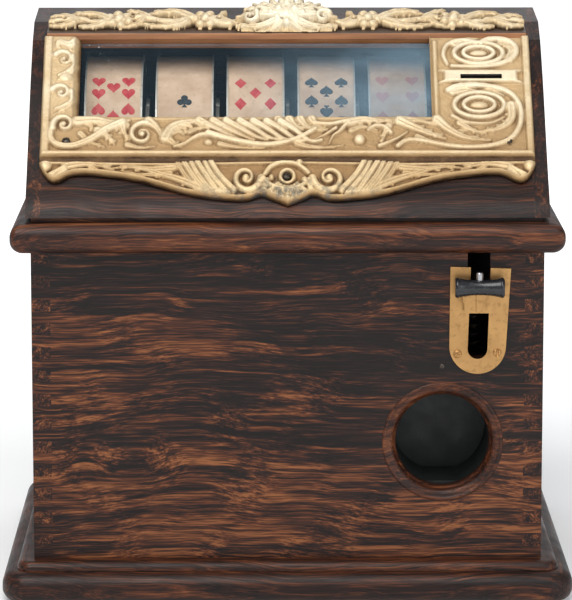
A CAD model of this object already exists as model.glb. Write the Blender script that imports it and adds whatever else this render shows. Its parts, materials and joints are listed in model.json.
import json
import math
import bpy
import bmesh
import numpy as np
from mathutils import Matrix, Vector
from mathutils.geometry import delaunay_2d_cdt


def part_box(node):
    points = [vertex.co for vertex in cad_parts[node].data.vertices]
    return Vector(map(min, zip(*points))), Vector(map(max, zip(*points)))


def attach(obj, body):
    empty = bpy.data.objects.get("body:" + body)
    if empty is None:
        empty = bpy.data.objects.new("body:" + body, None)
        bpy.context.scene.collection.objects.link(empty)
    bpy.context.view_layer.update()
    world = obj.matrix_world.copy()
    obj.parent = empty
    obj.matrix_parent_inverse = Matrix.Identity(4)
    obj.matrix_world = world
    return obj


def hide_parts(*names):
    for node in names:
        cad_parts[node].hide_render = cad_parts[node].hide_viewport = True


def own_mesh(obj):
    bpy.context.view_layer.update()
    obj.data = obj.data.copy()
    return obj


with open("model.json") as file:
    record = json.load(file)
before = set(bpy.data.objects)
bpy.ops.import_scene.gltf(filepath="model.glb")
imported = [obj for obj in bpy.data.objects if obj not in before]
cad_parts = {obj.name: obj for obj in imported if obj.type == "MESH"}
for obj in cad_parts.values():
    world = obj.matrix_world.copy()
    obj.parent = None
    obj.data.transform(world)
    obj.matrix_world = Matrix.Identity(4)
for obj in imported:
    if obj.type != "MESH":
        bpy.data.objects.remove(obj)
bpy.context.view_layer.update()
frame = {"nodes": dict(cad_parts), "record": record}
print("frame loaded:", len(frame["nodes"]), "nodes")

# camera and lights
viewSettings = {"place": (-0.014, -1.984, 0.4902), "tilt": 80.1, "turn": -0.4, "lens": 216.7}
lightSettings = {
    "key": {"place": (-0.5, -1.5, 2.1), "size": 1.6, "power": 46, "colour": (1.0, 0.985, 0.96)},
    "fill": {"place": (1.7, -1.9, 0.9), "size": 1.5, "power": 16, "colour": (0.96, 0.98, 1.0)},
    "rim": {"place": (0.2, 1.5, 1.8), "size": 1.6, "power": 11, "colour": (1.0, 1.0, 1.0)},
    "air": {"colour": (0.95, 0.96, 0.98, 1), "power": 0.42, "seen": 2.6},
}


def makeCamera():
    data = bpy.data.cameras.new("camera")
    data.lens = viewSettings["lens"]
    data.sensor_width = 36
    data.clip_start = 0.05
    camera = bpy.data.objects.new("camera", data)
    camera.location = viewSettings["place"]
    camera.rotation_euler = (math.radians(viewSettings["tilt"]), 0, math.radians(viewSettings["turn"]))
    bpy.context.collection.objects.link(camera)
    bpy.context.scene.camera = camera


def makeLights():
    for name in ("key", "fill", "rim"):
        s = lightSettings[name]
        data = bpy.data.lights.new(name, "AREA")
        data.energy = s["power"]
        data.size = s["size"]
        data.color = s["colour"]
        lamp = bpy.data.objects.new(name, data)
        lamp.location = s["place"]
        toward = Vector((0, 0, 0.15)) - lamp.location
        lamp.rotation_euler = toward.to_track_quat("-Z", "Y").to_euler()
        bpy.context.collection.objects.link(lamp)
    world = bpy.data.worlds.new("studio")
    world.use_nodes = True
    tree = world.node_tree
    tree.nodes["Background"].inputs["Color"].default_value = lightSettings["air"]["colour"]
    # the backdrop is near white to the camera and softer as a light
    seen = tree.nodes.new("ShaderNodeLightPath")
    strength = tree.nodes.new("ShaderNodeMapRange")
    strength.inputs["To Min"].default_value = lightSettings["air"]["power"]
    strength.inputs["To Max"].default_value = lightSettings["air"]["seen"]
    tree.links.new(seen.outputs["Is Camera Ray"], strength.inputs["Value"])
    tree.links.new(strength.outputs[0], tree.nodes["Background"].inputs["Strength"])
    bpy.context.scene.world = world


# small helpers for node materials
class Paint:
    def __init__(self, name):
        self.material = bpy.data.materials.new(name)
        self.material.use_nodes = True
        self.tree = self.material.node_tree
        self.tree.nodes.clear()
        self.place = self.node("ShaderNodeTexCoord").outputs["Object"]

    def node(self, kind, inputs=None, **settings):
        made = self.tree.nodes.new(kind)
        for key, value in settings.items():
            setattr(made, key, value)
        for key, value in (inputs or {}).items():
            self.set(made.inputs[key], value)
        return made

    def set(self, socket, value):
        if isinstance(value, bpy.types.NodeSocket):
            self.tree.links.new(value, socket)
        else:
            socket.default_value = value

    def maths(self, kind, a, b=0.0, clamp=False):
        return self.node("ShaderNodeMath", {0: a, 1: b}, operation=kind, use_clamp=clamp).outputs[0]

    def noise(self, where, scale, detail=3.0, rough=0.55, warp=0.0):
        inputs = {"Vector": where, "Scale": scale, "Detail": detail, "Roughness": rough}
        made = self.node("ShaderNodeTexNoise", inputs)
        made.inputs["Distortion"].default_value = warp
        return made.outputs["Fac"]

    def stretch(self, where, scale, turn=(0, 0, 0), shift=(0, 0, 0)):
        inputs = {"Vector": where, "Location": shift, "Rotation": turn, "Scale": scale}
        return self.node("ShaderNodeMapping", inputs).outputs[0]

    def remap(self, value, low, high, to0=0.0, to1=1.0, **settings):
        inputs = {"Value": value, "From Min": low, "From Max": high, "To Min": to0, "To Max": to1}
        return self.node("ShaderNodeMapRange", inputs, **settings).outputs[0]

    def axes(self):
        return self.node("ShaderNodeSeparateXYZ", {0: self.place}).outputs

    def times(self, a, b):
        return self.maths("MULTIPLY", a, b)

    def centred(self, value, gain):
        # a noise value spread about zero
        return self.times(self.maths("SUBTRACT", value, 0.5), gain)

    def ramp(self, value, stops, smooth=False):
        made = self.node("ShaderNodeValToRGB", {"Fac": value})
        bar = made.color_ramp
        bar.interpolation = "EASE" if smooth else "LINEAR"
        while len(bar.elements) < len(stops):
            bar.elements.new(0.5)
        for element, (at, colour) in zip(bar.elements, stops):
            element.position = at
            element.color = (*colour, 1) if len(colour) == 3 else (colour[0], colour[0], colour[0], 1)
        return made.outputs["Color"]

    def mix(self, amount, a, b, kind="MIX"):
        made = self.node("ShaderNodeMix", {0: amount}, data_type="RGBA", blend_type=kind)
        self.set(made.inputs[6], a if isinstance(a, bpy.types.NodeSocket) else (*a, 1))
        self.set(made.inputs[7], b if isinstance(b, bpy.types.NodeSocket) else (*b, 1))
        return made.outputs[2]

    def bump(self, height, distance, strength=1.0, under=None):
        made = self.node("ShaderNodeBump", {"Height": height, "Distance": distance, "Strength": strength})
        if under is not None:
            self.set(made.inputs["Normal"], under)
        return made.outputs[0]

    def edges(self, radius):
        # one where a corner is near, nothing on the flat
        rounded = self.node("ShaderNodeBevel", {"Radius": radius}, samples=4).outputs[0]
        plain = self.node("ShaderNodeNewGeometry").outputs["Normal"]
        same = self.node("ShaderNodeVectorMath", {0: rounded, 1: plain}, operation="DOT_PRODUCT")
        return self.remap(same.outputs["Value"], 0.995, 0.86)

    def finish(self, **sockets):
        shader = self.node("ShaderNodeBsdfPrincipled")
        for key, value in sockets.items():
            self.set(shader.inputs[key.replace("_", " ")], value)
        output = self.node("ShaderNodeOutputMaterial")
        self.tree.links.new(shader.outputs[0], output.inputs["Surface"])
        return self.material


def turnOutwards(mesh):
    bm = bmesh.new()
    bm.from_mesh(mesh)
    bmesh.ops.recalc_face_normals(bm, faces=bm.faces)
    bm.to_mesh(mesh)
    bm.free()


def addPiece(mesh, body, slotName, *replaced):
    # the mesh's name is the piece's name
    piece = bpy.data.objects.new(mesh.name, mesh)
    bpy.context.collection.objects.link(piece)
    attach(piece, body)
    if replaced:
        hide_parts(*replaced)
    return piece


def closedPiece(name, points, faces, material, body, slotName, *replaced, smooth=False):
    mesh = bpy.data.meshes.new(name)
    mesh.from_pydata(points, [], faces)
    mesh.materials.append(material)
    turnOutwards(mesh)
    if smooth:
        mesh.shade_smooth()
    return addPiece(mesh, body, slotName, *replaced)


# stained oak: dark earlywood with wavy orange-brown streaks that run along the board
oakSettings = {
    "dark": (0.0055, 0.0021, 0.0018),
    "brown": (0.022, 0.0070, 0.0040),
    "streak": (0.092, 0.0255, 0.0088),
    "bright": (0.24, 0.083, 0.028),
    "bare": (0.20, 0.105, 0.055),
    "middle": 0.46, "fadeFrom": 0.095, "gloss": 0.38, "shine": 0.3,
    "knot": (-0.082, 0.0, 0.075), "warp": 0.04, "edge": 0.0012, "wear": 0.3,
}


def oak(name, along="X", contrast=1.0, light=0.0, seed=0.0, mitred=None, fade=0.0, knot=False,
        gain=1.0, wear=True):
    p = Paint(name)
    s = oakSettings
    turns = {"X": (0, 0, 0), "Y": (0, 0, math.pi / 2), "Z": (0, math.pi / 2, 0)}
    where = p.stretch(p.place, (1, 1, 1), turns[along], (seed, seed * 0.37, seed * 0.11))
    if mitred:
        # the grain turns with the moulding at the mitred corners
        ax = p.maths("SUBTRACT", p.maths("ABSOLUTE", p.axes()[0]), mitred[0])
        ay = p.maths("SUBTRACT", p.maths("ABSOLUTE", p.axes()[1]), mitred[1])
        side = p.maths("GREATER_THAN", p.maths("SUBTRACT", ax, ay), 0.0)
        turned = p.stretch(p.place, (1, 1, 1), turns["Y"], (seed + 0.3, seed, 0))
        made = p.node("ShaderNodeMix", {0: side}, data_type="VECTOR")
        p.set(made.inputs[4], where)
        p.set(made.inputs[5], turned)
        where = made.outputs[1]
    # slow sideways wander of the grain
    drift = p.centred(p.noise(p.stretch(where, (5.5, 10, 10)), 1.0, 3.0, 0.5), s["warp"])
    spot = None
    if knot:
        knotX, _, knotZ = s["knot"]
        ends = {0: p.stretch(p.place, (0.6, 0, 1)), 1: (0.6 * knotX, 0, knotZ)}
        apart = p.node("ShaderNodeVectorMath", ends, operation="DISTANCE").outputs["Value"]
        spot = p.remap(apart, 0.0, 0.02, 1.0, 0.0, interpolation_type="SMOOTHSTEP")
        drift = p.maths("ADD", drift, p.times(spot, 0.008))
    push = p.node("ShaderNodeCombineXYZ", {0: 0.0, 1: drift, 2: drift}).outputs[0]
    where = p.node("ShaderNodeVectorMath", {0: where, 1: push}, operation="ADD").outputs[0]
    streaks = p.noise(p.stretch(where, (9, 215, 215)), 1.0, 5.0, 0.66, 0.5)
    narrow = p.noise(p.stretch(where, (26, 900, 900), shift=(1.3, 2.1, 0.4)), 1.0, 3.0, 0.6)
    clusters = p.noise(p.stretch(where, (3.5, 24, 24), shift=(2.7, 0.2, 1.4)), 1.0, 2.0, 0.5)
    fibres = p.noise(p.stretch(where, (70, 2600, 2600)), 1.0, 2.0, 0.5)
    body = p.maths("ADD", p.centred(streaks, 1.9), p.centred(narrow, 1.2))
    body = p.maths("ADD", body, p.centred(clusters, 0.7))
    body = p.maths("ADD", body, p.centred(fibres, 0.5))
    if fade:
        above = p.maths("SUBTRACT", p.axes()[2], s["fadeFrom"])
        body = p.maths("SUBTRACT", body, p.times(above, fade))
    if spot is not None:
        body = p.maths("SUBTRACT", body, p.times(p.maths("POWER", spot, 4.0), 0.3))
    body = p.maths("ADD", p.times(body, contrast), s["middle"] + light)
    colour = p.ramp(body, [(0.18, s["dark"]), (0.44, s["brown"]), (0.66, s["streak"]), (0.95, s["bright"])])
    dots = p.noise(p.stretch(where, (48, 1700, 1700), shift=(3, 1, 2)), 1.0, 1.0, 0.4)
    pores = p.ramp(dots, [(0.36, (0.2,)), (0.46, (1.0,))])
    colour = p.mix(0.7, colour, pores, "MULTIPLY")
    if gain != 1.0:
        colour = p.mix(1.0, colour, (gain, gain, gain), "MULTIPLY")
    if wear:
        scuffs = p.ramp(p.noise(p.place, 120.0, 4.0, 0.7), [(0.5, (0.0,)), (0.68, (1.0,))])
        rubbed = p.times(p.edges(s["edge"]), scuffs)
        colour = p.mix(p.times(rubbed, s["wear"]), colour, s["bare"])
    rough = p.remap(p.noise(p.place, 38.0, 4.0), 0.3, 0.7, s["gloss"] - 0.06, s["gloss"] + 0.16)
    height = p.maths("ADD", p.times(fibres, 0.5), p.times(pores, 0.5))
    relief = p.bump(height, 0.0004, 0.3)
    return p.finish(Base_Color=colour, Roughness=rough, Normal=relief, Specular_IOR_Level=s["shine"])


def plainMetal(name, colour, roughness, metallic=1.0, mottle=0.25, grime=(0.02, 0.015, 0.01)):
    p = Paint(name)
    cloud = p.noise(p.place, 60.0, 5.0, 0.6)
    spots = p.ramp(p.noise(p.place, 360.0, 3.0), [(0.52, (0.0,)), (0.72, (1.0,))])
    base = p.mix(p.times(cloud, mottle), colour, tuple(c * 0.45 for c in colour))
    base = p.mix(p.times(spots, 0.35), base, grime)
    rough = p.remap(cloud, 0.3, 0.7, max(0.05, roughness - 0.08), roughness + 0.12)
    relief = p.bump(p.noise(p.place, 720.0, 2.0), 0.00008, 0.5)
    return p.finish(Base_Color=base, Metallic=metallic, Roughness=rough, Normal=relief)


def finishNode(node, material):
    mesh = bpy.data.objects[node].data
    mesh.materials.clear()
    mesh.materials.append(material)


makeCamera()
makeLights()
bpy.context.scene.view_settings.view_transform = "Standard"
print("camera and lights")

# finishes for the carried-over parts
frontOak = oak("front oak", "X", 1.2, 0.02, 0.0, fade=0.9, knot=True, wear=False)
sideOak = oak("side oak", "Y", 1.1, 0.0, 0.7, wear=False)
headOak = oak("head oak", "X", 0.85, -0.05, 1.9, gain=0.85)
cheekOak = oak("cheek oak", "Y", 0.85, -0.05, 2.6, gain=0.85)
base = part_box("base_plinth")
baseOak = oak("base oak", "X", 0.75, 0.0, 3.3, mitred=(base[1].x, base[1].y))
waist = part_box("waist_moulding")
waistOak = oak("waist oak", "X", 0.75, 0.03, 4.1, mitred=(waist[1].x, -waist[0].y))
rimOak = oak("rim oak", "X", 0.6, 0.10, 5.2)
drawerOak = oak("drawer oak", "X", 0.95, 0.0, 8.4, wear=False)
insideOak = oak("inside oak", "X", 0.7, -0.1, 6.1)
finishes = {
    "front_board": frontOak, "side_board_left": sideOak, "side_board_right": sideOak,
    "head_cheek_left": cheekOak, "head_cheek_right": cheekOak, "head_front_board": headOak,
    "top_board": headOak, "head_back_board": headOak, "base_plinth": baseOak, "floor_board": baseOak,
    "waist_moulding": waistOak, "recess_frame": headOak, "rear_rail": headOak, "rear_door": headOak,
    "payout_rim": rimOak, "mechanism_shelf": insideOak, "cash_drawer": drawerOak, "drawer_pull": rimOak,
}


def railPaint():
    # the rail over the glass: grey-brown varnish on top, raw orange wood on the lower edge
    p = Paint("rail varnish")
    normal = p.node("ShaderNodeNewGeometry").outputs["Normal"]
    facing = p.node("ShaderNodeSeparateXYZ", {0: normal}).outputs[2]
    streaks = p.noise(p.stretch(p.place, (14, 260, 260)), 1.0, 4.0, 0.6)
    top = p.ramp(streaks, [(0.3, (0.030, 0.018, 0.013)), (0.7, (0.085, 0.050, 0.034))])
    raw = p.ramp(streaks, [(0.3, (0.16, 0.058, 0.020)), (0.7, (0.40, 0.17, 0.065))])
    return p.finish(Base_Color=p.mix(p.remap(facing, 0.80, 0.55), top, raw), Roughness=0.45)


finishes["top_rail"] = railPaint()
for node, material in finishes.items():
    finishNode(node, material)

steel = plainMetal("oiled steel", (0.42, 0.42, 0.43), 0.35)
darkSteel = plainMetal("rusty steel", (0.10, 0.085, 0.07), 0.45)
agedBrass = plainMetal("aged brass", (0.55, 0.315, 0.125), 0.42, 1.0, 0.6, (0.10, 0.045, 0.018))
blackTin = plainMetal("black japan", (0.012, 0.013, 0.016), 0.4, 0.0, 0.5, (0.03, 0.028, 0.025))
paleTin = plainMetal("pale tin", (0.52, 0.52, 0.47), 0.45, 0.4)
cupTin = plainMetal("cup lining", (0.0055, 0.0085, 0.0078), 0.5, 0.0, 0.6, (0.012, 0.014, 0.012))
enamel = plainMetal("worn black enamel", (0.012, 0.013, 0.016), 0.22, 0.0, 0.3, (0.06, 0.06, 0.06))
slotFinishes = {
    "steel": steel, "brass": agedBrass, "lever_brass": agedBrass, "gear_brass": agedBrass,
    "japanned_tin": blackTin, "plate_steel": blackTin, "reel_tin": paleTin, "black_enamel": enamel,
}
for subpart in frame["record"]["subparts"]:
    if subpart["material_slot"] in slotFinishes:
        finishNode(subpart["node"], slotFinishes[subpart["material_slot"]])
finishNode("payout_cup", cupTin)
for node in ("tie_rods", "stop_shaft"):
    finishNode(node, blackTin)
print("finishes for the carried-over parts")

# relief work: each raised line is a tapered stroke on a plane, in millimetres
def through(points, count=36):
    # a Catmull-Rom line through hand-set points
    pts = np.array([points[0], *points, points[-1]], float)
    t = np.linspace(0, len(pts) - 3 - 1e-6, count)
    k = t.astype(int)
    f = (t - k)[:, None]
    a, b, c, d = pts[k], pts[k + 1], pts[k + 2], pts[k + 3]
    return 0.5 * (2 * b + (c - a) * f + (2 * a - 5 * b + 4 * c - d) * f**2 + (3 * b - a - 3 * c + d) * f**3)


def spiral(centre, rx, ry, turns, start, way=1, inner=0.12, count=60):
    # a volute that winds inwards from its start angle
    t = np.linspace(0, 1, count)
    angle = math.radians(start) + way * turns * 2 * math.pi * t
    r = 1 - (1 - inner) * t**0.8
    return np.stack([centre[0] + rx * r * np.cos(angle), centre[1] + ry * r * np.sin(angle)], 1)


class Relief:
    # a field of heights over points of the plane, which strokes, knobs and rings raise
    def __init__(self, x, s, ground):
        self.x, self.s, self.floor = x, s, ground
        self.h = np.full(x.shape, ground)

    def near(self, low, high):
        return np.nonzero((self.x > low[0]) & (self.x < high[0]) & (self.s > low[1]) & (self.s < high[1]))[0]

    def stroke(self, line, w0, w1, height, vein=0.0):
        line = np.asarray(line, float)
        w0, w1, height = 1.04 * w0, 1.04 * w1, 1.12 * height
        # close samples, so that a long stroke stays smooth
        run = np.concatenate([[0], np.cumsum(np.hypot(*np.diff(line, axis=0).T))])
        close = np.linspace(0, run[-1], max(4, int(run[-1] / 0.4)))
        line = np.stack([np.interp(close, run, line[:, 0]), np.interp(close, run, line[:, 1])], 1)
        t = np.linspace(0, 1, len(line))
        wide = w0 + (w1 - w0) * t
        reach = max(w0, w1)
        at = self.near(line.min(0) - reach, line.max(0) + reach)
        if not len(at):
            return
        dx = self.x[at][:, None] - line[None, :, 0]
        ds = self.s[at][:, None] - line[None, :, 1]
        d2 = dx * dx + ds * ds
        best = np.argmin(d2 / (wide * wide)[None, :], 1)
        d = np.sqrt(d2[np.arange(len(at)), best])
        u = d / wide[best]
        top = height * (0.55 + 0.45 * wide[best] / reach)
        shape = top * np.sqrt(np.clip(1 - u * u, 0, 1))
        shape -= vein * np.exp(-((u / 0.22) ** 2)) * (u < 1)
        self.h[at] = np.where(u < 1, np.maximum(self.h[at], self.floor + shape), self.h[at])

    def leaf(self, points, width, height, lobes=4, side=-1, length=1.9, spread=42):
        # an acanthus leaf: a veined blade with lobes curling off one side, or both if side is 0
        blade = through(points, 40)
        for way in ((-1, 1) if side == 0 else (side,)):
            for k in range(lobes):
                t = (k + 0.6) / (lobes + 0.3)
                i = int(t * 38)
                along = blade[i + 1] - blade[i]
                along /= np.hypot(*along) + 1e-9
                turn = math.radians(spread) * way
                out = np.array([along[0] * math.cos(turn) - along[1] * math.sin(turn),
                                along[0] * math.sin(turn) + along[1] * math.cos(turn)])
                size = width * length * (1 - 0.45 * t)
                tip = blade[i] + out * size
                bend = blade[i] + out * size * 0.55 + along * size * 0.28
                self.stroke(through([blade[i], bend, tip], 14), width * 0.85 * (1 - 0.35 * t), width * 0.3,
                            height * 0.8, vein=height * 0.2)
        self.stroke(blade, width * 1.05, width * 0.28, height, vein=height * 0.28)

    def volute(self, centre, rx, ry, turns, start, way, w0, w1, height):
        self.stroke(spiral(centre, rx, ry, turns, start, way), w0, w1, height)
        self.knob(centre, rx * 0.26, ry * 0.26, height * 1.15)

    def knob(self, centre, rx, ry, height):
        reach = 1.2 * np.array([rx, ry])
        at = self.near(centre - reach, centre + reach)
        dx, ds = (self.x[at] - centre[0]) / rx, (self.s[at] - centre[1]) / ry
        u = np.hypot(dx, ds)
        shape = height * np.sqrt(np.clip(1 - u * u, 0, 1))
        self.h[at] = np.where(u < 1, np.maximum(self.h[at], self.floor + shape), self.h[at])

    def ring(self, centre, rx, ry, wide, height):
        angle = np.linspace(0, 2 * math.pi, 70)
        line = np.stack([centre[0] + rx * np.cos(angle), centre[1] + ry * np.sin(angle)], 1)
        self.stroke(line, wide, wide, height)

    def panel(self, low, high, height, soft=0.8):
        # a flat raised strip with rounded edges
        at = self.near(low, high)
        x, s, h = self.x[at], self.s[at], self.h[at]
        edge = np.minimum.reduce([x - low[0], high[0] - x, s - low[1], high[1] - s])
        self.h[at] = np.maximum(h, h + (height - h) * np.clip(edge / soft, 0, 1) ** 0.5)


castSettings = {
    "angle": 44.5, "length": 83.0, "drop": 31.2, "halfWidth": 131.5, "left": 20.1, "right": 54.0,
    "low": 26.2, "coin": (53.0, 22.2, 3.0), "step": 0.5, "ground": -1.7, "back": -4.4, "apronRows": 66,
    "outline": [(0, -31.2), (8.5, -27.2), (14, -24.8), (21.5, -27.6), (33, -27.4), (52.5, -24), (75.5, -16),
                (92.5, -12.2), (111.5, -10.6), (121, -15.4), (126, -14.6), (130.5, -7.5), (131.5, -3)],
}


def frontPlane():
    # from millimetres along the sloping plane (x, up, out) to metres in the frame
    c = castSettings
    a = math.radians(c["angle"])
    low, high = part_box("cast_front")
    y0 = low.y + 0.001 * c["drop"] * math.cos(a)
    z0 = high.z - 0.001 * c["length"] * math.sin(a)

    def place(x, s, n):
        return np.stack([x * 0.001, y0 + 0.001 * (s * math.cos(a) - n * math.sin(a)),
                         z0 + 0.001 * (s * math.sin(a) + n * math.cos(a))], -1)
    return place


onFront = frontPlane()


def frontPoint(x, s, n):
    return Vector(onFront(np.array(x), np.array(s), np.array(n)))


frontZero = frontPoint(0.0, 0.0, 0.0)
frontOut = (frontPoint(0.0, 0.0, 1.0) - frontZero).normalized()
frontUp = (frontPoint(0.0, 1.0, 0.0) - frontZero).normalized()


def apronEdge(x):
    # height of the scalloped edge at each x
    pts = np.array(castSettings["outline"], float)
    line = through([tuple(p) for p in pts], 400)
    return np.interp(np.abs(x), line[:, 0], line[:, 1])


def raiseUpright(r):
    # left upright beside the window: four scrolls between a flat border and a bevel
    left = -castSettings["halfWidth"]
    r.panel((left - 2, -3), (left + 5.2, 83), -0.1, 1.0)
    r.leaf([(-113.5, 79), (-118, 76.5), (-123, 78.5), (-125, 74)], 3.2, 2.2, 3, 1)
    r.volute((-120.2, 66), 5.4, 6.2, 1.2, 150, -1, 2.1, 0.8, 2.3)
    r.stroke(through([(-115.5, 68), (-114.8, 62), (-118.5, 57.5), (-123, 55)]), 2.0, 1.2, 2.0)
    r.knob((-119.3, 53.6), 4.6, 4.2, 2.2)
    r.volute((-121, 43), 5.2, 5.6, 1.25, 160, -1, 2.0, 0.8, 2.3)
    r.stroke(through([(-115.8, 44), (-115.3, 38), (-119, 34.5), (-124, 32)]), 2.0, 1.0, 2.0)
    r.knob((-120.2, 31.5), 3.2, 2.4, 1.6)
    r.leaf([(-113.8, 61), (-117, 56.4), (-123.4, 51.6)], 2.3, 2.0, 3, 1, 1.1)
    r.leaf([(-113.8, 38.4), (-117.4, 33.6), (-124, 28.4)], 2.3, 2.0, 3, 1, 1.1)
    r.volute((-119, 21), 6.4, 7.0, 1.35, 200, -1, 2.2, 0.9, 2.6)


def raiseBand(r):
    # band under the window: one long run of acanthus scrolls
    r.stroke(through([(-125.6, 19), (-125.8, 12), (-121.5, 7.4), (-113.5, 6.8), (-104, 11.5), (-96, 18),
                      (-88, 22.5)]), 1.9, 2.8, 2.6, 0.5)
    r.leaf([(-112, 23.5), (-102, 24.3), (-93, 22.5), (-84, 24)], 3.6, 2.2, 5, -1, 2.4, 60)
    r.leaf([(-101, 17), (-96, 13.5), (-92, 8)], 2.8, 2.2, 3, 0, 1.3, 50)
    r.leaf([(-88, 22), (-86.5, 15), (-84, 11)], 2.6, 2.1, 2, -1)
    for points, wide, side in (
        ([(-110, 15), (-105, 9.6), (-97, 6.2)], 2.2, 0), ([(-85, 7.4), (-78, 5.4), (-70, 6.6)], 1.9, 1),
        ([(-36, 8.0), (-25, 5.6), (-12, 4.9)], 1.9, 1),
        ([(5, 8.4), (12, 6.0), (21, 5.6), (30, 7.4)], 2.1, -1),
        ([(62, 24.4), (71, 23.6), (80, 20.4)], 2.4, 1), ([(34, 17), (40, 19.5), (48, 17.5)], 1.9, 0),
        ([(69, 12.8), (77, 9.2), (86, 8.0)], 2.0, 1), ([(-52, 16), (-46, 19), (-40, 18)], 1.8, 0),
        ([(92, 22), (99, 17.2), (106, 15.2)], 2.3, 0), ([(14, 19), (18, 17), (22, 18.5)], 1.6, 0),
    ):
        r.leaf(points, wide, 1.8, 3, side, 1.25, 50)
    r.volute((-77.2, 14.2), 7.4, 8.0, 1.5, 70, 1, 2.0, 0.8, 2.6)
    r.leaf([(-74, 23.5), (-69, 18), (-66, 10.5)], 3.0, 2.2, 3, 1, 1.2, 45)
    r.leaf([(-65, 12), (-61, 19.5), (-53, 22.8), (-43, 23)], 3.6, 2.4, 4, -1, 2.6, 66)
    r.leaf([(-63, 11), (-60.2, 8.2), (-57, 5.6)], 2.6, 2.0, 2, 1)
    r.stroke(through([(-60, 6), (-54.5, 8.2), (-50, 11.8), (-45, 14.2), (-38, 13.6)]), 1.1, 1.7, 2.2)
    r.knob((-42, 9), 2.7, 2.1, 2.2)
    # the large central sweep, with blades laid side by side
    r.stroke(through([(-42, 15), (-33, 11.6), (-22, 8.6), (-12, 7.2), (-2, 8.6), (7, 12.4), (15, 18)]),
             2.2, 1.5, 2.8, 0.3)
    for k in range(7):
        x = -47 + 7.2 * k
        bend = [(x, 24.4 - 0.25 * k), (x + 7, 19.5 - 0.3 * k), (x + 16, 14.2 - 0.75 * k), (x + 22, 10.4)]
        r.stroke(through(bend), 2.5, 1.1, 2.2 + 0.1 * k, 0.45)
    for k in range(4):
        r.leaf([(-5 + 6 * k, 25), (-2 + 6 * k, 20), (4 + 4.4 * k, 16.5 + 0.8 * k)], 2.8, 2.1, 2, 1)
    r.stroke(through([(14, 22.5), (22, 21.2), (29, 22.6), (33, 23.5)]), 1.2, 1.6, 2.1)
    r.stroke(through([(33, 23), (27.5, 16), (24.5, 13.5), (22.2, 8)]), 1.7, 0.5, 2.3)
    r.stroke(through([(26, 18.5), (20, 14), (14, 10.5)]), 1.3, 0.4, 2.0)
    r.knob((38.3, 10.6), 3.4, 3.7, 3.2)
    r.leaf([(33.5, 22.6), (41, 24.4), (50, 23.4), (58, 24.4)], 3.0, 2.2, 4, -1, 1.8, 60)
    r.stroke(through([(43, 17.2), (47, 20.2), (52, 19.2), (55, 15.5)]), 1.2, 1.6, 2.1)
    r.leaf([(54, 20), (51.5, 14), (50, 8)], 2.2, 2.0, 3, -1, 1.4, 50)
    r.stroke(through([(49, 6.4), (55, 9.5), (60, 12.6), (64, 16.2)]), 1.6, 0.6, 2.1)
    r.leaf([(60, 23.5), (67, 19.5), (75, 15.2), (84, 11.4)], 3.4, 2.3, 4, 1, 1.8, 40)
    r.leaf([(80, 24.5), (86, 18), (95, 12.3), (108, 10.4)], 3.2, 2.2, 3, 1, 1.8, 36)
    # the stem that runs under the coin plate and up its right side
    r.stroke(through([(58.5, 6.2), (64, 10.4), (73, 9.6), (85, 6.6), (97, 5.4), (109, 6.6), (118.5, 11),
                      (123.6, 19), (125, 29), (122.6, 38.5), (116, 44.6), (104, 47.4), (92, 47.0),
                      (86.4, 44)]), 1.5, 2.0, 2.5, 0.35)


def raiseCoinPlate(r):
    # right plate: a ribbon with the coin slot between two oval cartouches
    wide = castSettings["halfWidth"]
    r.panel((wide - 4.6, -3), (wide + 2, 83), -0.2, 1.0)
    r.panel((78.5, 26), (81.6, 79.6), -0.4, 1.0)
    r.panel((84, 49.4), (124.6, 58.6), 0.6, 1.4)
    for x, way in ((84, 1), (124.6, -1)):
        for s in (51.2, 56.8):
            flick = 1.5 if s > 54 else -1.5
            r.stroke([(x + 3 * way, s), (x - 2.0 * way, s + flick)], 1.6, 0.5, 2.1)
    for centre, rx, ry in (((102.8, 34.2), 13.4, 8.4), ((103.6, 70), 13.2, 7.4)):
        r.ring(centre, rx, ry, 1.7, 2.1)
        r.ring(centre, rx * 0.62, ry * 0.6, 1.5, 2.3)
        r.knob(centre, rx * 0.4, ry * 0.34, 1.9)
    r.stroke(through([(86.5, 62.6), (84.6, 69), (87, 76), (95, 79), (103, 77)]), 1.4, 1.8, 2.1)
    r.stroke(through([(89, 61.2), (100, 60.6), (113, 62), (122.2, 67), (124, 74), (119, 79), (110, 79.6),
                      (105.5, 77)]), 1.4, 2.2, 2.3, 0.3)
    r.leaf([(120, 66), (121.5, 72), (117, 76.6), (111, 75.6)], 2.8, 2.0, 3, 1, 1.3, 40)
    r.leaf([(91, 76.2), (96.5, 79.4), (104, 80.4)], 2.4, 1.9, 2, -1)
    r.leaf([(89, 43), (96, 44.6), (103, 42.6), (109, 44.4), (116, 41)], 2.6, 2.0, 3, -1, 1.0, 40)
    r.leaf([(120, 34), (119.5, 25), (113, 18.5), (104, 16.6)], 3.2, 2.1, 4, -1, 1.5, 48)
    r.stroke(through([(88, 27), (96, 22.4), (108, 22), (116, 26)]), 1.4, 0.7, 1.8)
    r.knob((93.5, 17.4), 4.0, 1.6, 1.1)


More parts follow.
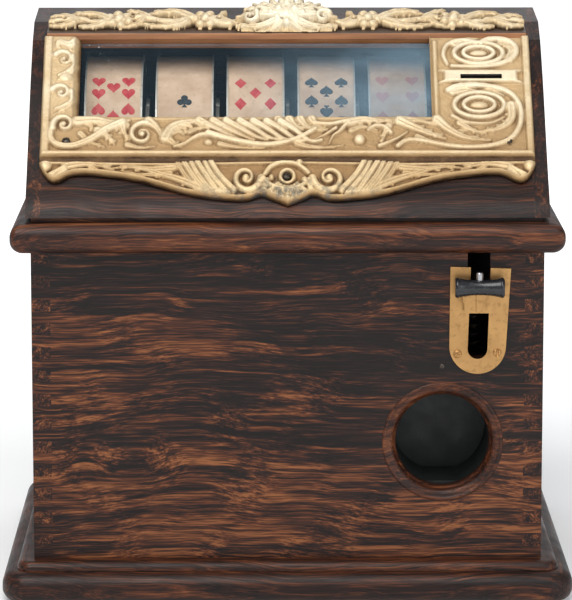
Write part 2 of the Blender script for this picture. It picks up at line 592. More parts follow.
def raiseApron(r):
    # scalloped apron: shell in the middle, a volute and a fan of leaves on each side, knobs at the ends
    for m in (-1, 1):
        big = 1.0 if m < 0 else 1.08
        scroll = through([(36, -24), (31, -29.2), (22, -30.4), (13.6, -25.5), (11, -17)])
        r.stroke(scroll * (m, 1), 2.6, 2.2, 3.0, 0.4)
        r.volute((m * 22, -15.4), 8.2 * big, 10.0, 1.55, 180 if m > 0 else 0, m, 2.5, 1.0, 3.4)
        for k in range(6):
            x0, s0 = 56.5 - 3.6 * k, -3.4 - 0.15 * k
            x1, s1 = 45 - 3.3 * k, -26.6 - 0.35 * k + 2.4 * (k > 3) * (k - 3)
            bow = 2.2 + 0.3 * (k % 2)
            line = through([(x0 + 0.9 * bow, s0), (x0 - bow, s0 - 9.5), (x1, s1)])
            r.stroke(line * (m, 1), 1.5 + 0.3 * (k % 2), 2.1, 2.3 + 0.3 * k, 0.7)
        for pts, w, h in (
            ([(46, -21.5), (56, -16.2), (68, -11.8), (78, -8.4), (88, -7.0)], 3.0, 2.3),
            ([(62, -11.6), (72, -12.6), (80, -12.2), (88, -9.8)], 2.0, 1.8),
            ([(60, -8.0), (72, -8.8), (83, -7.4), (93, -8.6)], 2.5, 2.0),
            ([(52, -16.5), (60, -13.6), (68, -13.4)], 2.0, 1.8),
            ([(112, -10.4), (105, -9.6), (100, -8.2)], 1.8, 1.7),
            ([(117, -7), (108, -5.4), (98, -6.6), (92, -9.6)], 3.0, 2.2),
            ([(104, -7.6), (99, -10.4), (94, -9.4)], 1.8, 1.8),
        ):
            blade = [(m * x, s) for x, s in pts]
            r.leaf(blade, w, h, 3, -m, 1.5, 50)
        # shell knob and corner bead
        for k in range(4):
            a = math.radians(-150 + 32 * k)
            tip = (m * (119.6 - 6.2 * math.cos(a)), -9.0 + 8.6 * math.sin(a))
            r.stroke([(m * 117.5, -7.5), tip], 1.4, 2.1, 2.9)
        r.knob((m * 128.2, -6.6), 4.0, 4.8, 3.0)
    # shell
    for k in range(7):
        a = math.radians(-90 + 17 * (k - 3))
        far = 17.5 - 0.35 * abs(k - 3) ** 1.6
        near, tip = (6.4, 6.4), (0.82 * far, far)
        rib = [(across * math.cos(a), -15.5 + up * math.sin(a)) for across, up in (near, tip)]
        r.stroke(rib, 1.5, 2.2, 3.6)
    r.stroke(through([(-13, -16), (-9.6, -20.4), (-3, -23.2), (3, -23), (8, -20.6), (10, -18)]),
             1.8, 1.5, 4.0)
    r.stroke(through([(-12, -13), (-9, -8), (-4, -5.2), (3, -5.4), (8, -8.6), (11, -12)]), 1.7, 1.7, 2.6)
    r.knob((6.3, -5.0), 2.2, 2.6, 4.2)
    r.knob((8.9, -17.6), 2.2, 2.9, 4.4)
    r.knob((-8.6, -15.0), 1.8, 2.4, 3.0)
    r.ring((-0.2, -14.6), 3.6, 4.4, 1.3, 2.8)


def castHeights(x, s, low):
    # the whole casting's height over its plane, in millimetres
    c = castSettings
    r = Relief(x, s, c["ground"])
    raiseApron(r)
    apron = r.h.copy()
    r.h[:] = c["ground"]
    raiseUpright(r)
    raiseBand(r)
    raiseCoinPlate(r)
    h = np.where(s > 1.0, r.h, apron)
    # bright ledge over a cove, then a thin bead that the apron hangs from
    h = np.maximum(h, np.where((s > 0.6) & (s < 3.4), 0.5 - 0.4 * np.abs(s - 2.0), -9))
    cove = (s <= 0.6) & (s > -4.6)
    h = np.where(cove, -2.0 - 1.5 * np.sqrt(np.clip(1 - ((s + 2.0) / 2.9) ** 2, 0, 1)), h)
    wavy = -5.4 + 0.5 * np.cos(x / 21.0)
    h = np.maximum(h, np.where(np.abs(s - wavy) < 1.0, 0.1 - 0.9 * (s - wavy) ** 2, -9))
    # rim round the window and along the scalloped edge, then rounded-over outside edges
    h = np.where((s > 24.6) & (x < c["halfWidth"] - c["right"] + 0.1), np.maximum(h, -0.9), h)
    gap = s - low
    h = np.where((gap < 2.0) & (s < -3), np.maximum(h, -0.2), h)
    side = c["halfWidth"] - np.abs(x)
    edge = np.minimum(np.minimum(side, np.where(s < 2, gap, 9)), c["length"] - s)
    h = np.minimum(h, c["back"] + 1.6 + 3.4 * np.sqrt(np.clip(edge / 1.8, 0, 1)) + 3 * (edge > 1.8))
    # bevel towards the glass on the left upright
    windowLeft = -c["halfWidth"] + c["left"]
    bevel = np.clip((x - (windowLeft - 3.6)) / 3.6, 0, 1)
    h = np.where((s > c["low"]) & (x < windowLeft + 0.01), h * (1 - bevel) + bevel * -3.6, h)
    return h


def makeCastFront(material, darkMaterial):
    c = castSettings
    wide, step = c["halfWidth"], c["step"]
    windowLeft, windowRight = -wide + c["left"], wide - c["right"]
    coinS, coinLong, coinHigh = c["coin"]
    coinX = (windowRight + wide) / 2

    def cuts(marks):
        out = []
        for a, b in zip(marks[:-1], marks[1:]):
            out.extend(np.linspace(a, b, max(1, int(round((b - a) / step))), endpoint=False))
        return np.array([*out, marks[-1]])

    xs = cuts([-wide, windowLeft, windowRight, coinX - coinLong / 2, coinX + coinLong / 2, wide])
    apronRows = c["apronRows"]
    upper = cuts([-3.0, c["low"], coinS - coinHigh / 2, coinS + coinHigh / 2, c["length"]])
    low = apronEdge(xs)
    fan = np.linspace(0, 1, apronRows, endpoint=False)
    rows = [low + (-3.0 - low) * v for v in fan] + [np.full(xs.shape, v) for v in upper]
    s = np.array(rows)
    x = np.broadcast_to(xs, s.shape)
    lows = np.broadcast_to(low, s.shape)
    h = castHeights(x.ravel(), s.ravel(), lows.ravel()).reshape(s.shape)
    points = onFront(x.ravel(), s.ravel(), h.ravel())
    count = s.shape[1]
    faces = []
    for i in range(s.shape[0] - 1):
        sm = 0.5 * (s[i, 0] + s[i + 1, 0]) if i >= apronRows else -9
        for j in range(count - 1):
            xm = 0.5 * (xs[j] + xs[j + 1])
            if sm > c["low"] and windowLeft < xm < windowRight:
                continue
            if abs(sm - coinS) < coinHigh / 2 and abs(xm - coinX) < coinLong / 2:
                continue
            a = i * count + j
            faces.append((a, a + 1, a + count + 1, a + count))
    mesh = bpy.data.meshes.new("castFront")
    mesh.from_pydata(points.tolist(), [], faces)
    level = mesh.attributes.new("relief", "FLOAT", "POINT")
    level.data.foreach_set("value", h.ravel().astype(np.float32))
    lowness = mesh.attributes.new("upSlope", "FLOAT", "POINT")
    lowness.data.foreach_set("value", s.ravel().astype(np.float32))
    bm = bmesh.new()
    bm.from_mesh(mesh)
    bmesh.ops.delete(bm, geom=[v for v in bm.verts if not v.link_faces], context="VERTS")
    rim = [e for e in bm.edges if e.is_boundary]
    made = bmesh.ops.extrude_edge_only(bm, edges=rim)
    fresh = [v for v in made["geom"] if isinstance(v, bmesh.types.BMVert)]
    for v in fresh:
        v.co += frontOut * (0.001 * c["back"] - (v.co - frontZero).dot(frontOut))
    # flat back, triangulated between the outline and the coin slot
    behind = set(fresh)
    ring = [v for v in bm.verts if v in behind]
    spots = {v: k for k, v in enumerate(ring)}
    flat = [Vector((v.co.x * 1000, (v.co - frontZero).dot(frontUp) * 1000)) for v in ring]
    bounds = [tuple(spots[v] for v in e.verts) for e in bm.edges if e.is_boundary]
    found = delaunay_2d_cdt(flat, bounds, [], 0, 1e-7)
    cornerOf = found[3]
    for tri in found[2]:
        who = [cornerOf[k][0] for k in tri]
        mid = sum((flat[k] for k in who), Vector((0, 0))) / 3
        inWindow = mid.y > c["low"] and windowLeft < mid.x < windowRight
        inSlot = abs(mid.y - coinS) < coinHigh / 2 and abs(mid.x - coinX) < coinLong / 2
        inside = mid.y > float(apronEdge(np.array(mid.x)))
        if inside and not inWindow and not inSlot:
            bm.faces.new([ring[k] for k in who])
    bmesh.ops.recalc_face_normals(bm, faces=bm.faces)
    # the coin slot's own walls are dark
    for f in bm.faces:
        mid = f.calc_center_median()
        up = (mid - frontZero).dot(frontUp) * 1000
        nearSlot = abs(up - coinS) < coinHigh and abs(mid.x * 1000 - coinX) < coinLong / 2 + 0.5
        if nearSlot and abs(f.normal.dot(frontOut)) < 0.5:
            f.material_index = 1
    bm.to_mesh(mesh)
    bm.free()
    mesh.shade_smooth()
    mesh.materials.append(material)
    mesh.materials.append(darkMaterial)
    addPiece(mesh, "cabinet", "gilt_casting", "cast_front")


giltSettings = {
    "warm": [(0.0, (0.040, 0.018, 0.007)), (0.3, (0.33, 0.19, 0.078)), (0.62, (0.50, 0.325, 0.15)),
             (1.0, (0.80, 0.61, 0.35))],
    "pale": [(0.0, (0.15, 0.078, 0.027)), (0.26, (0.56, 0.385, 0.195)), (0.58, (0.68, 0.515, 0.30)),
             (1.0, (0.92, 0.83, 0.63))],
    "crevice": (0.10, 0.048, 0.018), "speck": (0.17, 0.09, 0.035), "tarnish": (0.10, 0.105, 0.10),
}


def giltPaint():
    # aged gilt: pale on the raised work, warm and brown in the hollows and under the apron
    p = Paint("aged gilt")
    level = p.node("ShaderNodeAttribute", attribute_name="relief").outputs["Fac"]
    along = p.node("ShaderNodeAttribute", attribute_name="upSlope").outputs["Fac"]
    high = p.remap(level, -3.2, 1.4)
    upward = p.remap(along, -14.0, 44.0)
    cloud = p.noise(p.place, 95.0, 5.0, 0.62)
    fine = p.noise(p.place, 900.0, 3.0, 0.6)
    high = p.maths("ADD", high, p.centred(cloud, 0.55), True)
    warm = p.ramp(high, giltSettings["warm"])
    pale = p.ramp(high, giltSettings["pale"])
    colour = p.mix(upward, warm, pale)
    shut = p.node("ShaderNodeAmbientOcclusion", {"Distance": 0.0028}, samples=5).outputs["AO"]
    crevice = p.remap(shut, 0.88, 0.35)
    colour = p.mix(p.times(crevice, 0.85), colour, giltSettings["crevice"])
    specks = p.ramp(fine, [(0.60, (0.0,)), (0.74, (1.0,))])
    colour = p.mix(p.times(specks, 0.42), colour, giltSettings["speck"])
    # dark tarnish where the middle of the apron is rubbed
    middle = p.remap(p.maths("ABSOLUTE", p.axes()[0]), 0.075, 0.012)
    lowest = p.remap(along, -8.0, -27.0)
    stain = p.ramp(p.noise(p.place, 160.0, 4.0, 0.7), [(0.47, (0.0,)), (0.60, (1.0,))])
    tarnish = p.times(p.times(middle, lowest), stain)
    colour = p.mix(p.times(tarnish, 0.8), colour, giltSettings["tarnish"])
    rough = p.remap(cloud, 0.3, 0.7, 0.40, 0.62)
    grain = p.bump(fine, 0.0003, 0.75)
    pits = p.bump(p.noise(p.place, 300.0, 5.0, 0.65), 0.0007, 0.75, grain)
    return p.finish(Base_Color=colour, Metallic=0.5, Roughness=rough, Normal=pits)


gilt = giltPaint()
slotDark = Paint("slot shadow").finish(Base_Color=(0.012, 0.010, 0.009, 1), Roughness=0.6)
makeCastFront(gilt, slotDark)
print("cast front")


# pierced castings along the rail: the relief engine again, with everything low cut away
railCasting = {"rail": 12.75, "wide": 17.0, "step": 0.42, "foot": 0.1, "easing": 5,
               "levelGain": 0.55, "levelShift": -1.3}
stripSettings = {**railCasting, "tilt": 31.0, "lift": 0.5, "setback": 2.6}
crestSettings = {**railCasting, "tilt": 44.0, "lift": 0.6, "setback": 1.0}


def railPlane(c):
    # a plane that leans back from the rail, and the rail's own height under any depth
    rail, lean = math.radians(c["rail"]), math.radians(c["tilt"])
    low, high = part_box("crest_strips")
    y0 = high.y - 0.001 * (c["wide"] - c["setback"]) * math.cos(rail)
    z0 = low.z + 0.001 * (c["setback"] * math.sin(rail) + c["lift"])

    def place(x, s, n):
        return np.stack([x * 0.001, y0 + 0.001 * (s * math.cos(lean) - n * math.sin(lean)),
                         z0 + 0.001 * (s * math.sin(lean) + n * math.cos(lean))], -1)

    def under(points):
        out = points.copy()
        front = y0 - 0.001 * c["setback"] * math.cos(rail)
        out[:, 2] = low.z + np.clip(points[:, 1] - front, 0, 1) * math.tan(rail) + 0.001 * c["foot"]
        return out
    return place, under


def spaced(low, high, step):
    return np.linspace(low, high, int(round((high - low) / step)) + 1)


def piercedCasting(name, settings, across, along, heights, material, replaced, keep=0.35):
    # solid between the relief and a flat foot wherever the relief stands above the foot
    place, under = railPlane(settings)
    xs, ss = spaced(*across, settings["step"]), spaced(*along, settings["step"])
    x, s = np.meshgrid(xs, ss)
    h = heights(x.ravel(), s.ravel()).reshape(x.shape)
    solid = h > keep
    cells = solid[:-1, :-1] & solid[1:, :-1] & solid[:-1, 1:] & solid[1:, 1:]
    rows, cols = np.nonzero(cells)
    wide = len(xs)
    a = rows * wide + cols
    tops = np.stack([a, a + 1, a + wide + 1, a + wide], 1)
    edges = {}
    for quad in tops:
        for k in range(4):
            edges[(int(quad[k]), int(quad[(k + 1) % 4]))] = True
    rim = [(u, v) for u, v in edges if (v, u) not in edges]
    count = x.size
    # ease the stepped outline: each rim point moves towards its two neighbours
    flat = np.stack([x.ravel(), s.ravel(), h.ravel()], 1)
    beside = {}
    for u, v in rim:
        beside.setdefault(u, []).append(v)
        beside.setdefault(v, []).append(u)
    who = np.array([u for u, near in beside.items() if len(near) == 2])
    pairs = np.array([beside[u] for u in who])
    for _ in range(settings["easing"]):
        flat[who] = 0.5 * flat[who] + 0.25 * (flat[pairs[:, 0]] + flat[pairs[:, 1]])
    top = place(flat[:, 0], flat[:, 1], flat[:, 2])
    points = np.concatenate([top, under(top)])
    faces = [tuple(q) for q in tops.tolist()]
    faces += [tuple(v + count for v in reversed(q)) for q in tops.tolist()]
    faces += [(v, u, u + count, v + count) for u, v in rim]
    used = np.unique(np.array([v for f in faces for v in f]))
    renumber = np.zeros(count * 2, int)
    renumber[used] = np.arange(len(used))
    mesh = bpy.data.meshes.new(name)
    mesh.from_pydata(points[used].tolist(), [], [tuple(int(renumber[v]) for v in f) for f in faces])
    level = mesh.attributes.new("relief", "FLOAT", "POINT")
    # the gilt's own scale of heights
    shown = np.concatenate([h.ravel(), np.zeros(count)])[used]
    shown = shown * settings["levelGain"] + settings["levelShift"]
    level.data.foreach_set("value", shown.astype(np.float32))
    pale = mesh.attributes.new("upSlope", "FLOAT", "POINT")
    pale.data.foreach_set("value", np.full(len(used), 60.0, np.float32))
    mesh.shade_smooth()
    mesh.materials.append(material)
    addPiece(mesh, "cabinet", "gilt_casting", replaced)


def stripHeights(x, s):
    r = Relief(np.abs(x), s, 0.0)
    # mirrored left and right: a stem with leaves, two rosettes and a leafy end
    start, end = 27.0, 128.5
    stem = [(start, 6), (34, 4.5), (42, 8), (50, 9.5), (60, 6), (70, 7.5), (80, 10), (90, 7), (102, 5.5),
            (112, 8.5), (122, 7.5), (end, 6.5)]
    r.stroke(through(stem, 90), 2.5, 1.9, 2.6)
    for k, (cx, cs) in enumerate(((44.5, 8.6), (91, 8.2))):
        for j in range(6):
            a = math.radians(60 * j + 20 * k)
            r.knob((cx + 5.2 * math.cos(a), cs + 4.6 * math.sin(a)), 3.1, 2.9, 3.2)
        r.knob((cx, cs), 3.1, 3.0, 4.6)
    for pts, w, h, side in (
        ([(31, 5), (36, 10), (33, 15.5)], 3.0, 3.0, 0),
        ([(52, 10), (59, 14.5), (68, 15.2), (75, 12.5)], 3.1, 3.2, 0),
        ([(54, 7), (61, 3.0), (70, 2.2), (78, 4.0)], 2.9, 3.0, 0),
        ([(76, 10), (81, 14.4), (87, 15.8)], 2.7, 2.9, 0),
        ([(78, 8), (82, 4), (88, 1.6)], 2.4, 2.6, 0),
        ([(97, 8), (103, 12.4), (111, 13.8), (118, 11.6)], 2.9, 3.0, 0),
        ([(98, 6), (105, 2.2), (113, 2.4)], 2.6, 2.8, 0),
        ([(114, 8), (121, 11.5), (128.5, 10.6)], 2.5, 2.8, 0),
        ([(116, 6), (122, 3.0), (129, 3.4)], 2.3, 2.6, 0),
    ):
        r.leaf(pts, w, h, 3, side, 1.1, 52)
    for cx, cs, rx in ((37, 8.2, 1.3), (64.5, 9.8, 1.5), (72, 6.4, 1.2), (84, 9.6, 1.2), (106, 8.2, 1.5),
                       (121, 8.4, 1.2)):
        r.h[np.hypot(r.x - cx, (r.s - cs) * 1.1) < rx] = 0
    # uneven casting: the left and right runs differ a little
    r.h *= 0.85 + 0.08 * np.sin(x * 0.31 + 0.8) + 0.06 * np.sin(x * 0.83 + s * 0.6)
    r.h[(np.abs(x) < start - 1.0) | (np.abs(x) > end + 1.2)] = 0
    return r.h


def crestHeights(x, s):
    r = Relief(x, s, 0.0)
    dome = 4.6 * np.sqrt(np.clip(1 - (x / 25.0) ** 2 - ((s - 10.5) / 12.0) ** 2, 0, 1))
    for m in (-1, 1):
        for k in range(6):
            a = math.radians(8 + 27 * k)
            tip = (m * (2 + 25.5 * math.cos(a)), 9 + 10.5 * math.sin(a) - 2 * math.cos(a))
            mid = (m * (1 + 14 * math.cos(a * 0.93)), 8.4 + 6.5 * math.sin(a * 1.08))
            r.leaf([(m * 1.5, 8), mid, tip], 3.1, 4.0, 3, 0, 1.0, 46)
        r.leaf([(m * 4, 6), (m * 14, 1.6), (m * 27.5, 3.2)], 2.9, 3.4, 4, 0, 1.1, 48)
        r.leaf([(m * 2, 5), (m * 8, -0.6), (m * 17, -1.6)], 2.3, 3.0, 3, 0, 1.0, 48)
        r.volute((m * 20, 7.6), 4.6, 4.4, 1.2, 40, m, 1.9, 0.8, 4.2)
    for cx, cs, size in ((0, 9, 3.6), (-4.2, 12.4, 2.8), (4.4, 12.2, 2.9), (0.2, 16, 3.0), (-5.2, 6.2, 2.6),
                         (5.2, 6.0, 2.5), (0, 3.2, 2.7), (-8.6, 10, 2.3), (8.8, 9.6, 2.3)):
        r.knob((cx, cs), size, size, 4.6)
    h = np.where(r.h > 0.4, 0.85 * r.h + 0.45 * dome, 0)
    for cx, cs, rx in ((-10.5, 6.0, 0.9), (11, 5.6, 0.9), (-2.6, 5.6, 0.7), (7.0, 15.4, 0.9),
                       (-15, 12.6, 0.8), (15.6, 12.8, 0.8)):
        h[np.hypot(x - cx, s - cs) < rx] = 0
    return h


piercedCasting("scrollStrips", stripSettings, (-130, 130), (-0.6, 17.6), stripHeights, gilt, "crest_strips")
piercedCasting("centreCrest", crestSettings, (-30, 30), (-2.4, 20.4), crestHeights, gilt, "crest_centre")
print("scroll strips and crest")


# printed cards on the drums
cardSettings = {"radius": 57.0, "lift": 0.06, "step": 36.0, "columns": 8.1, "faces": [
    ["heart10", "club3", "spade7", "diamond9", "heart2", "club8", "spade10", "diamond4", "heart6", "blank0"],
    ["club1", "heart7", "diamond10", "spade3", "club9", "heart4", "diamond6", "spade8", "club2", "blank0"],
    ["diamond5", "spade9", "heart3", "club10", "diamond7", "spade2", "heart8", "club6", "spade4", "blank0"],
    ["spade8", "diamond2", "club7", "heart9", "spade5", "diamond8", "club4", "heart5", "spade6", "blank0"],
    ["heart6", "club5", "diamond8", "club7", "heart10", "spade4", "diamond3", "club9", "heart2", "blank0"],
], "centres": [41.2, 41.2, 46.8, 41.2, 43.5]}


def pipShape(kind):
    # outline and width, height of each suit, upright, about its middle
    t = np.linspace(0, 2 * math.pi, 36, endpoint=False)
    if kind == "heart":
        x = 16 * np.sin(t) ** 3
        y = 13 * np.cos(t) - 5 * np.cos(2 * t) - 2 * np.cos(3 * t) - np.cos(4 * t)
        return [np.stack([x / 16 * 3.7, (y + 2.5) / 15 * 4.0], 1)]
    if kind == "diamond":
        k = np.array([0, 1, 2, 3])
        x, y = np.sin(k * math.pi / 2) * 3.3, np.cos(k * math.pi / 2) * 4.0
        return [np.stack([x, y], 1)]
    half = [(0.35, -0.6), (0.5, -2.2), (1.5, -3.6)]
    foot = 1.12 * np.array(half + [(-x, y) for x, y in reversed(half)])
    if kind == "spade":
        x = 16 * np.sin(t) ** 3
        y = -(13 * np.cos(t) - 5 * np.cos(2 * t) - 2 * np.cos(3 * t) - np.cos(4 * t))
        return [np.stack([x / 16 * 3.6, (y - 2.5) / 15 * 3.5 + 0.9], 1), foot]
    ring = np.stack([np.cos(t), np.sin(t)], 1)
    lobes = [ring * 1.9 + centre for centre in ((0, 2.1), (-2.1, -0.7), (2.1, -0.7))]
    return lobes + [ring + (0, 0.2), foot]


def pipPlaces(count):
    c = cardSettings["columns"]
    rows = {4: (-11.5, 11.5), 5: (-7.3, 7.3), 6: (-12, 0, 12), 7: (-12, 0, 12), 8: (-13.6, 0, 13.6),
            9: (-13.8, -4.7, 4.7, 13.8), 10: (-13.8, -4.7, 4.7, 13.8)}
    out = [(side * c, row) for row in rows.get(count, ()) for side in (-1, 1)]
    out += {1: [(0, 0)], 2: [(0, -11), (0, 11)], 3: [(0, -12), (0, 0), (0, 12)], 5: [(0, 0)], 7: [(0, 6)],
            8: [(0, 6.9), (0, -6.9)], 9: [(0, 0)], 10: [(0, 9.2), (0, -9.2)]}.get(count, [])
    return out


def printInk(name, low, high):
    p = Paint(name)
    patches = p.noise(p.place, 260.0, 4.0, 0.65)
    return p.finish(Base_Color=p.ramp(patches, [(0.35, low), (0.75, high)]), Roughness=0.7)


def cardStock():
    p = Paint("card stock")
    cloud = p.noise(p.place, 60.0, 5.0, 0.6)
    stain = p.noise(p.place, 300.0, 4.0, 0.7)
    tone = p.ramp(cloud, [(0.3, (0.50, 0.34, 0.22)), (0.7, (0.72, 0.55, 0.40))])
    tone = p.mix(p.ramp(stain, [(0.55, (0.0,)), (0.75, (0.35,))]), tone, (0.24, 0.14, 0.08))
    return p.finish(Base_Color=tone, Roughness=0.75)


def printedCard(points, faces, inks, face, centre, middle):
    # one card's pips, wrapped on the drum as flat fans about their middles
    c = cardSettings
    suit = face.rstrip("0123456789")
    r = 0.001 * (c["radius"] + c["lift"] * (1.3 if suit == "club" else 1))
    for px, py in pipPlaces(int(face[len(suit):])):
        for outline in pipShape(suit):
            upright = -1 if py < -0.5 else 1
            first, count = len(points), len(outline)
            loop = np.concatenate([outline.mean(0)[None], outline]) * upright + (px, py)
            angle = centre + loop[:, 1] / c["radius"]
            points += np.stack([middle.x + loop[:, 0] * 0.001, middle.y - r * np.cos(angle),
                                middle.z + r * np.sin(angle)], 1).tolist()
            faces += [(first, first + 1 + (j + 1) % count, first + 1 + j) for j in range(count)]
            inks += [int(suit in ("club", "spade"))] * count


def faceAway(mesh, axis):
    # open fans on a drum face away from its axis, which runs along x
    bm = bmesh.new()
    bm.from_mesh(mesh)
    for f in bm.faces:
        away = f.calc_center_median() - axis
        away.x = 0
        if f.normal.dot(away) < 0:
            f.normal_flip()
    bm.to_mesh(mesh)
    bm.free()


def makeCards():
    c = cardSettings
    redInk = printInk("red ink", (0.46, 0.020, 0.035), (0.62, 0.12, 0.11))
    fadedInk = Paint("faded red ink").finish(Base_Color=(0.50, 0.21, 0.17, 1), Roughness=0.7)
    blueInk = printInk("blue-black ink", (0.008, 0.016, 0.024), (0.035, 0.06, 0.075))
    stock = cardStock()
    for n in range(5):
        body = f"reel_{n + 1}"
        strip = body + "_card_strip"
        finishNode(strip, stock)
        low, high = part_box(strip)
        middle = (low + high) / 2
        points, faces, inks = [], [], []
        for k, face in enumerate(c["faces"][n]):
            centre = math.radians(c["centres"][n] - c["step"] * k)
            printedCard(points, faces, inks, face, centre, middle)
        mesh = bpy.data.meshes.new(f"pips{n + 1}")
        mesh.from_pydata(points, [], faces)
        mesh.materials.append(fadedInk if n == 4 else redInk)
        mesh.materials.append(blueInk)
        mesh.polygons.foreach_set("material_index", inks)
        faceAway(mesh, middle)
        addPiece(mesh, body, "card_stock")


makeCards()
print("cards")


# window glass: clear, with a haze that thickens to the right and dirt in the top left corner
def glassPaint():
    p = Paint("window glass")
    across, _, up = p.axes()
    cloud = p.noise(p.stretch(p.place, (14, 30, 30)), 1.0, 4.0, 0.6)
    haze = p.times(p.remap(across, -0.03, 0.09, 0.0, 0.24), p.remap(cloud, 0.35, 0.7, 0.4, 1.8))
    flecks = p.ramp(p.noise(p.place, 520.0, 4.0, 0.65), [(0.66, (0.0,)), (0.70, (1.0,))])
    corner = p.times(p.remap(across, -0.045, -0.108), p.remap(up, 0.262, 0.29))
    dirt = p.times(flecks, corner)
    rim = p.node("ShaderNodeFresnel", {"IOR": 1.45}).outputs[0]
    alpha = p.maths("ADD", haze, p.times(dirt, 0.8))
    alpha = p.maths("ADD", alpha, p.times(rim, 0.28), True)
    tone = p.mix(dirt, (0.30, 0.47, 0.60), (0.75, 0.74, 0.70))
    return p.finish(Base_Color=tone, Roughness=0.06, Alpha=alpha, Specular_IOR_Level=0.9)


finishNode("window_glass", glassPaint())
print("glass")


# small fittings: slotted screws, nail heads and marks on the front board
fittingSettings = {"segments": 20}


def turned(name, profile, centres, normal, material, body, slotName, slotWidth=0.0, slotTurn=0.0,
           replaced=()):
    # one or more turned heads on a plane, each with an optional screwdriver slot, as one mesh
    n = Vector(normal).normalized()
    side = Vector((1, 0, 0))
    up = n.cross(side)
    count = fittingSettings["segments"]
    points, faces = [], []
    for number, place in enumerate(centres):
        turn = slotTurn + 1.1 * number
        first = len(points)
        tall = profile[-1][1]
        for r, h in profile:
            for k in range(count):
                a = 2 * math.pi * k / count
                u, v = r * math.cos(a), r * math.sin(a)
                across = -u * math.sin(turn) + v * math.cos(turn)
                inSlot = slotWidth and abs(across) < slotWidth and h > 0.55 * tall
                height = h - 0.45 * tall if inSlot else h
                points.append(tuple(Vector(place) + side * u + up * v + n * height))
        for i in range(len(profile) - 1):
            for k in range(count):
                a, b = first + i * count + k, first + i * count + (k + 1) % count
                faces.append((a, b, b + count, a + count))
        faces.append(tuple(first + k for k in reversed(range(count))))
        last = first + (len(profile) - 1) * count
        faces.append(tuple(last + k for k in range(count)))
    closedPiece(name, points, faces, material, body, slotName, *replaced)


def domed(radius, height, rings=7):
    out = []
    for k in range(rings):
        a = math.pi / 2 * k / (rings - 1)
        out.append((max(radius * math.cos(a), radius * 0.04), height * math.sin(a)))
    return out


low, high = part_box("lever_plate_screws")
inset = 0.0022
places = [(low.x + inset, high.y, low.z + inset), (high.x - inset, high.y, high.z - inset)]
turned("plateScrews", domed(0.0023, 0.0011), places, (0, -1, 0), agedBrass, "cabinet", "brass",
       0.0005, 0.5, ("lever_plate_screws",))
places = [frontPoint(x, s, -0.6) for x, s in ((-117.5, 10.0), (117.5, 10.0), (-0.5, -14.0))]
turned("castScrews", domed(0.0022, 0.0013), places, frontOut, darkSteel, "cabinet", "steel",
       0.0005, 0.9, ("front_screws",))
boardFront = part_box("front_board")[0].y
holePaint = Paint("nail hole").finish(Base_Color=(0.006, 0.004, 0.004, 1), Roughness=0.8)
places = [(0.0925, boardFront, 0.1805), (0.1141, boardFront, 0.1812)]
turned("nailHoles", [(0.0009, 0.0), (0.0009, 0.00005)], places, (0, -1, 0), holePaint,
       "cabinet", "stained_oak")
turned("nailHead", domed(0.0013, 0.0006), [(0.0819, boardFront, 0.1263)], (0, -1, 0), darkSteel,
       "cabinet", "steel")
low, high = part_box("thumb_piece")
middle = (low + high) / 2
turned("leverPinHead", [(0.0019, 0.0), (0.0019, 0.0050), (0.0016, 0.0056), (0.0006, 0.0058)],
       [(middle.x, middle.y + 0.001, high.z - 0.0032)], (0, 0, 1), steel, "start_lever", "steel")


# turned rim round the payout hole: a rolled outer edge and a cove that falls to the cup
def ringPiece(name, centre, profile, material, replaced):
    count = 96
    points, faces = [], []
    rings = len(profile)
    for r, n in profile:
        for k in range(count):
            a = 2 * math.pi * k / count
            points.append((centre[0] + r * math.cos(a), centre[1] - n, centre[2] + r * math.sin(a)))
    for i in range(rings):
        for k in range(count):
            a, b = i * count + k, i * count + (k + 1) % count
            c, d = ((i + 1) % rings) * count + (k + 1) % count, ((i + 1) % rings) * count + k
            faces.append((a, b, c, d))
    closedPiece(name, points, faces, material, "cabinet", "stained_oak", replaced, smooth=True)


rimSettings = {"inner": 0.0250, "cove": 0.0033, "roll": 0.0007}
low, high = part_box("payout_rim")
c = rimSettings
outer = (high.x - low.x) / 2
depth = high.y - low.y
steps = ((0.0, 0.0), (0.0005, 0.8), (0.0011, 1.0), (0.0018, 0.7))
roll = [(outer - inward, share * c["roll"]) for inward, share in steps]
start, reach = c["inner"] + 0.0012, outer - 0.0022 - c["inner"] - 0.0012
turns = [math.pi / 2 * k / 8 for k in range(8, -1, -1)]
cove = [(start + reach * (1 - math.cos(a)), -c["cove"] * (1 - math.sin(a))) for a in turns]
lip = [(c["inner"] + 0.0004, -c["cove"] - 0.0006), (c["inner"], -c["cove"] - 0.0016), (c["inner"], -depth)]
centre = ((low.x + high.x) / 2, boardFront, (low.z + high.z) / 2)
ringPiece("payoutRim", centre, [(outer, -depth)] + roll + cove + lip, rimOak, "payout_rim")


# brass shield under the thumb piece, with a rib down its middle
boxFaces = ((0, 1, 3, 2), (4, 6, 7, 5), (0, 4, 5, 1), (2, 3, 7, 6), (0, 2, 6, 4), (1, 5, 7, 3))


def addBox(points, faces, low, high):
    first = len(points)
    for x in (low[0], high[0]):
        for y in (low[1], high[1]):
            for z in (low[2], high[2]):
                points.append((x, y, z))
    faces += [tuple(first + k for k in f) for f in boxFaces]


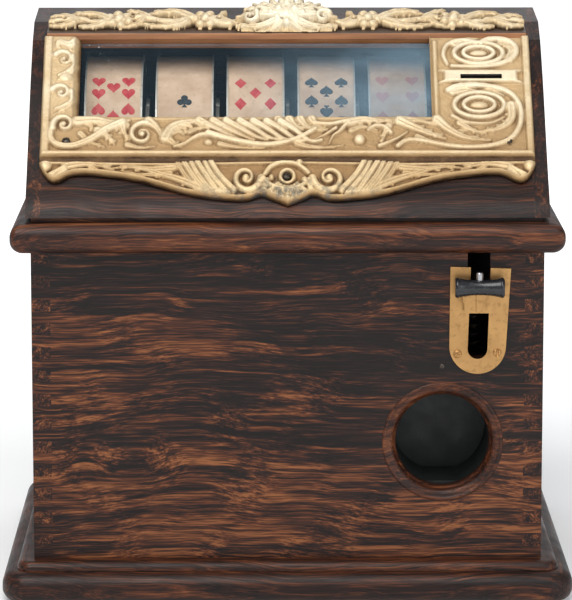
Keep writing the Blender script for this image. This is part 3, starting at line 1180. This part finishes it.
shieldSettings = {
    "half": 0.0079, "foot": 0.0142, "head": 0.002, "front": 0.0028, "thick": 0.0011,
    "rib": 0.0016, "proud": 0.0012, "bar": 0.0076, "sunk": 0.0002,
}
low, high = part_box("thumb_piece")
c = shieldSettings
x0, y0, z0 = (low.x + high.x) / 2, (low.y + high.y) / 2 + c["front"], (low.z + high.z) / 2
points, faces = [], []
for half, front, back, foot in (
    (c["half"], 0.0, c["thick"], c["foot"]),
    (c["rib"], -c["proud"], c["sunk"], c["foot"] - 0.0006),
    (c["half"] - 0.0008, -0.0005, c["sunk"], c["bar"]),
):
    addBox(points, faces, (x0 - half, y0 + front, z0 - foot), (x0 + half, y0 + back, z0 - c["head"]))
closedPiece("leverShield", points, faces, agedBrass, "start_lever", "lever_brass")


# head back board with its top edge planed to close the joint under the barrel top
backSettings = {"closed": 0.00028, "slope": 0.0016}
low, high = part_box("head_back_board")
c = backSettings
points, faces = [], []
addBox(points, faces, low, (high.x, high.y, high.z + c["closed"]))
points = [(x, y, z + c["slope"] * (z > high.z and y < high.y - 0.001)) for x, y, z in points]
closedPiece("headBack", points, faces, headOak, "cabinet", "stained_oak", "head_back_board")


# return spring under the lever, which shortens as the lever goes down
springSettings = {"turns": 6, "around": 40, "across": 10, "radius": 0.0040, "wire": 0.0008, "keep": 0.55}


def makeSpring():
    c = springSettings
    low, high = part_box("lever_spring")
    x0, y0 = (low.x + high.x) / 2, (low.y + high.y) / 2
    bottom, top = low.z + c["wire"], high.z - c["wire"]
    count = c["turns"] * c["around"]
    points, faces = [], []
    for k in range(count + 1):
        a = 2 * math.pi * k / c["around"]
        out = Vector((math.cos(a), math.sin(a), 0))
        at = Vector((x0, y0, bottom + (top - bottom) * k / count)) + out * c["radius"]
        for j in range(c["across"]):
            b = 2 * math.pi * j / c["across"]
            outward = out * math.cos(b) + Vector((0, 0, math.sin(b)))
            points.append(tuple(at + outward * c["wire"]))
    n = c["across"]
    for k in range(count):
        for j in range(n):
            i = (j + 1) % n
            faces.append((k * n + j, (k + 1) * n + j, (k + 1) * n + i, k * n + i))
    faces.append(tuple(range(n)))
    faces.append(tuple(count * n + j for j in reversed(range(n))))
    piece = closedPiece("leverSpring", points, faces, darkSteel, "cabinet", "steel", "lever_spring",
                        smooth=True)
    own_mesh(piece)


makeSpring()
print("fittings")

floorSettings = {"half": 4.0, "colour": (0.88, 0.89, 0.90, 1), "near": (0.3, 0.15), "far": (1.6, 0.75)}


def makeFloor():
    # pale floor that glows a little more far from the cabinet, so it meets the backdrop
    c = floorSettings
    half = c["half"]
    mesh = bpy.data.meshes.new("floor")
    corners = [(-half, -half, 0), (half, -half, 0), (half, half, 0), (-half, half, 0)]
    mesh.from_pydata(corners, [], [(0, 1, 2, 3)])
    piece = bpy.data.objects.new("floor", mesh)
    bpy.context.collection.objects.link(piece)
    p = Paint("pale floor")
    away = p.node("ShaderNodeVectorMath", {0: p.place}, operation="LENGTH").outputs["Value"]
    glow = p.remap(away, c["near"][0], c["far"][0], c["near"][1], c["far"][1])
    mesh.materials.append(p.finish(Base_Color=c["colour"], Roughness=0.8, Emission_Color=(1, 1, 1, 1),
                                   Emission_Strength=glow))


makeFloor()
print("floor")
